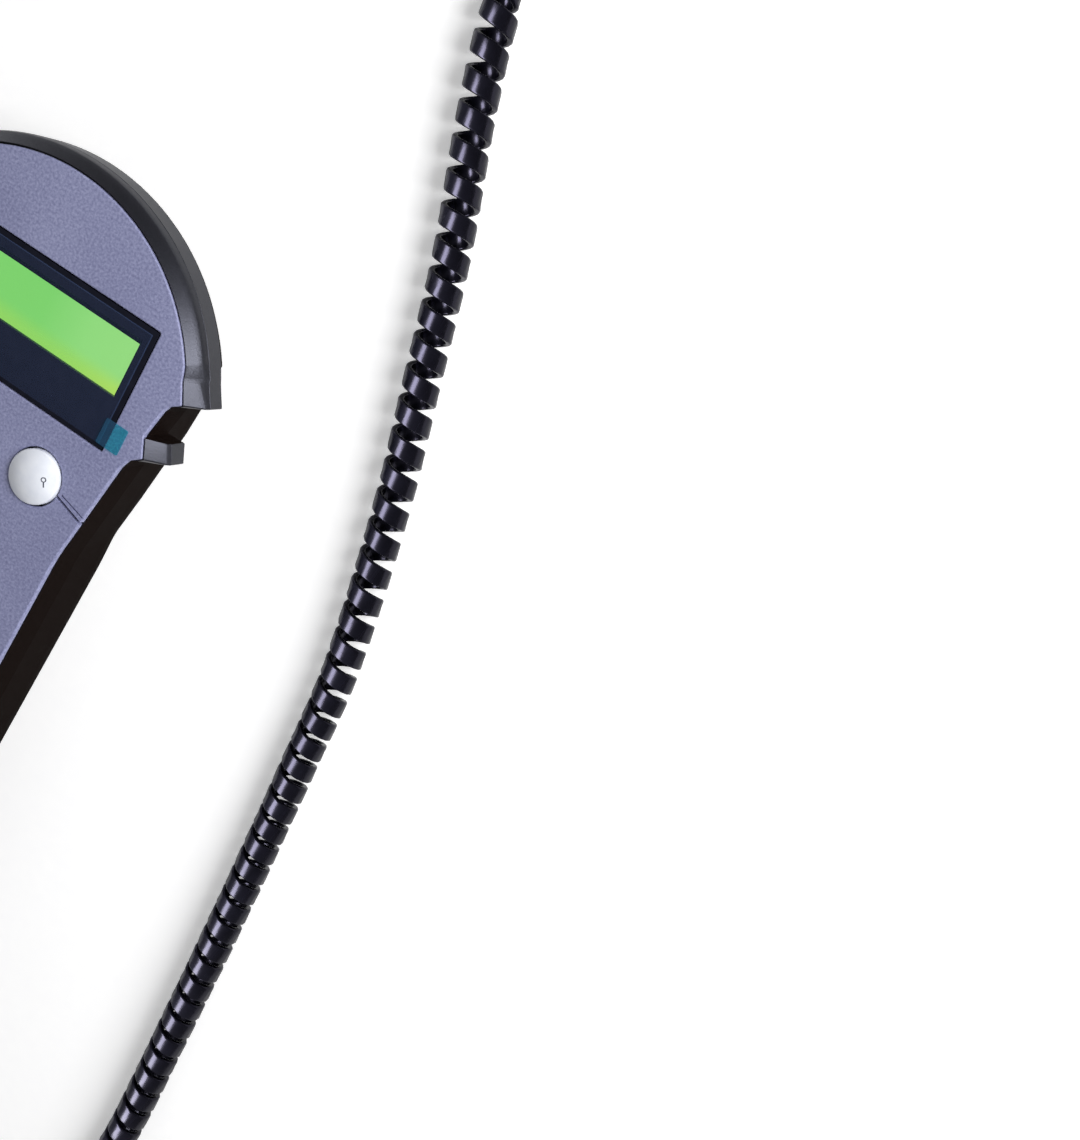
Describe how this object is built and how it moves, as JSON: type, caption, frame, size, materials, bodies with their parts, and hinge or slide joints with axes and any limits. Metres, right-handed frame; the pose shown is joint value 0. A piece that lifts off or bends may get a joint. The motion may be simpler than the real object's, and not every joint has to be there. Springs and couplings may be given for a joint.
{
  "type": "hand controller",
  "caption": "Handheld controller of a motorised telescope: round-headed case with finger grips, lit display, domed press keys and a curly cord ending in a modular plug.",
  "frame": {"origin": "under the middle of the case, on the surface that its flat back lies on", "axes": "+X to the controller's right, +Y towards its round head, +Z out of its face"},
  "size_m": [0.1561, 0.4064, 0.0323],
  "materials": {
    "charcoal_abs": "semi-gloss moulded",
    "lavender_grey_abs": "satin, finely speckled",
    "white_silicone": "glossy domed",
    "smoked_acrylic": "polished",
    "protective_film": "thin clear film with a teal tab",
    "black_sheet_steel": "black",
    "green_display_glass": "lit green panel",
    "light_guide_acrylic": "frosted",
    "glass_fibre_board": "solder mask",
    "grey_silicone": "matte",
    "epoxy_chip": "matte",
    "nylon_header": "moulded",
    "zinc_plated_steel": "zinc plated",
    "gloss_black_pvc": "glossy",
    "clear_polycarbonate": "clear",
    "gold_plated_bronze": "gold plated"
  },
  "bodies": {
    "controller": {"front_case": "charcoal_abs", "rear_case": "charcoal_abs", "face_plate": "lavender_grey_abs", "display_window": "smoked_acrylic", "screen_film": "protective_film", "display_bezel": "black_sheet_steel", "display_panel": "green_display_glass", "light_guide": "light_guide_acrylic", "display_board": "glass_fibre_board", "ribbon_cable": "nylon_header", "key_mat": "grey_silicone", "main_board": "glass_fibre_board", "processor_chip": "epoxy_chip", "cord_header": "nylon_header", "case_screw_1": "zinc_plated_steel", "case_screw_2": "zinc_plated_steel", "case_screw_3": "zinc_plated_steel", "case_screw_4": "zinc_plated_steel", "board_screw_1": "zinc_plated_steel", "board_screw_2": "zinc_plated_steel", "board_screw_3": "zinc_plated_steel", "board_screw_4": "zinc_plated_steel", "cord_boot": "gloss_black_pvc", "cord_lead": "gloss_black_pvc", "curly_cord": "gloss_black_pvc", "cord_tail": "gloss_black_pvc", "plug_body": "clear_polycarbonate", "plug_contacts": "gold_plated_bronze"},
    "key_menu": {"key_menu": "white_silicone"},
    "key_enter": {"key_enter": "white_silicone"},
    "key_back": {"key_back": "white_silicone"},
    "key_up": {"key_up": "white_silicone"},
    "key_left": {"key_left": "white_silicone"},
    "key_right": {"key_right": "white_silicone"},
    "key_down": {"key_down": "white_silicone"},
    "key_1": {"key_1": "white_silicone"},
    "key_2": {"key_2": "white_silicone"},
    "key_3": {"key_3": "white_silicone"},
    "key_4": {"key_4": "white_silicone"},
    "key_5": {"key_5": "white_silicone"},
    "key_6": {"key_6": "white_silicone"},
    "key_7": {"key_7": "white_silicone"},
    "key_8": {"key_8": "white_silicone"},
    "key_9": {"key_9": "white_silicone"},
    "key_rate": {"key_rate": "white_silicone"},
    "key_0": {"key_0": "white_silicone"},
    "key_info": {"key_info": "white_silicone"},
    "plug_latch": {"plug_latch": "clear_polycarbonate"}
  },
  "joints": [
    {"name": "key_menu_press", "type": "slide", "parent": "controller", "child": "key_menu", "axis": [0, 0, -1], "range_m": [0, 0.0012], "stiffness_N_per_m": 300, "springref_m": -0.0015},
    {"name": "key_enter_press", "type": "slide", "parent": "controller", "child": "key_enter", "axis": [0, 0, -1], "range_m": [0, 0.0012], "stiffness_N_per_m": 300, "springref_m": -0.0015},
    {"name": "key_back_press", "type": "slide", "parent": "controller", "child": "key_back", "axis": [0, 0, -1], "range_m": [0, 0.0012], "stiffness_N_per_m": 300, "springref_m": -0.0015},
    {"name": "key_up_press", "type": "slide", "parent": "controller", "child": "key_up", "axis": [0, 0, -1], "range_m": [0, 0.0012], "stiffness_N_per_m": 300, "springref_m": -0.0015},
    {"name": "key_left_press", "type": "slide", "parent": "controller", "child": "key_left", "axis": [0, 0, -1], "range_m": [0, 0.0012], "stiffness_N_per_m": 300, "springref_m": -0.0015},
    {"name": "key_right_press", "type": "slide", "parent": "controller", "child": "key_right", "axis": [0, 0, -1], "range_m": [0, 0.0012], "stiffness_N_per_m": 300, "springref_m": -0.0015},
    {"name": "key_down_press", "type": "slide", "parent": "controller", "child": "key_down", "axis": [0, 0, -1], "range_m": [0, 0.0012], "stiffness_N_per_m": 300, "springref_m": -0.0015},
    {"name": "key_1_press", "type": "slide", "parent": "controller", "child": "key_1", "axis": [0, 0, -1], "range_m": [0, 0.0012], "stiffness_N_per_m": 300, "springref_m": -0.0015},
    {"name": "key_2_press", "type": "slide", "parent": "controller", "child": "key_2", "axis": [0, 0, -1], "range_m": [0, 0.0012], "stiffness_N_per_m": 300, "springref_m": -0.0015},
    {"name": "key_3_press", "type": "slide", "parent": "controller", "child": "key_3", "axis": [0, 0, -1], "range_m": [0, 0.0012], "stiffness_N_per_m": 300, "springref_m": -0.0015},
    {"name": "key_4_press", "type": "slide", "parent": "controller", "child": "key_4", "axis": [0, 0, -1], "range_m": [0, 0.0012], "stiffness_N_per_m": 300, "springref_m": -0.0015},
    {"name": "key_5_press", "type": "slide", "parent": "controller", "child": "key_5", "axis": [0, 0, -1], "range_m": [0, 0.0012], "stiffness_N_per_m": 300, "springref_m": -0.0015},
    {"name": "key_6_press", "type": "slide", "parent": "controller", "child": "key_6", "axis": [0, 0, -1], "range_m": [0, 0.0012], "stiffness_N_per_m": 300, "springref_m": -0.0015},
    {"name": "key_7_press", "type": "slide", "parent": "controller", "child": "key_7", "axis": [0, 0, -1], "range_m": [0, 0.0012], "stiffness_N_per_m": 300, "springref_m": -0.0015},
    {"name": "key_8_press", "type": "slide", "parent": "controller", "child": "key_8", "axis": [0, 0, -1], "range_m": [0, 0.0012], "stiffness_N_per_m": 300, "springref_m": -0.0015},
    {"name": "key_9_press", "type": "slide", "parent": "controller", "child": "key_9", "axis": [0, 0, -1], "range_m": [0, 0.0012], "stiffness_N_per_m": 300, "springref_m": -0.0015},
    {"name": "key_rate_press", "type": "slide", "parent": "controller", "child": "key_rate", "axis": [0, 0, -1], "range_m": [0, 0.0012], "stiffness_N_per_m": 300, "springref_m": -0.0015},
    {"name": "key_0_press", "type": "slide", "parent": "controller", "child": "key_0", "axis": [0, 0, -1], "range_m": [0, 0.0012], "stiffness_N_per_m": 300, "springref_m": -0.0015},
    {"name": "key_info_press", "type": "slide", "parent": "controller", "child": "key_info", "axis": [0, 0, -1], "range_m": [0, 0.0012], "stiffness_N_per_m": 300, "springref_m": -0.0015},
    {"name": "plug_latch_press", "type": "hinge", "parent": "controller", "child": "plug_latch", "pos_m": [0.052, 0.2042, 0.0056], "axis": [1, 0, 0], "range_deg": [0, 11], "stiffness_Nm_per_rad": 0.03, "springref_deg": -2.86}
  ]
}
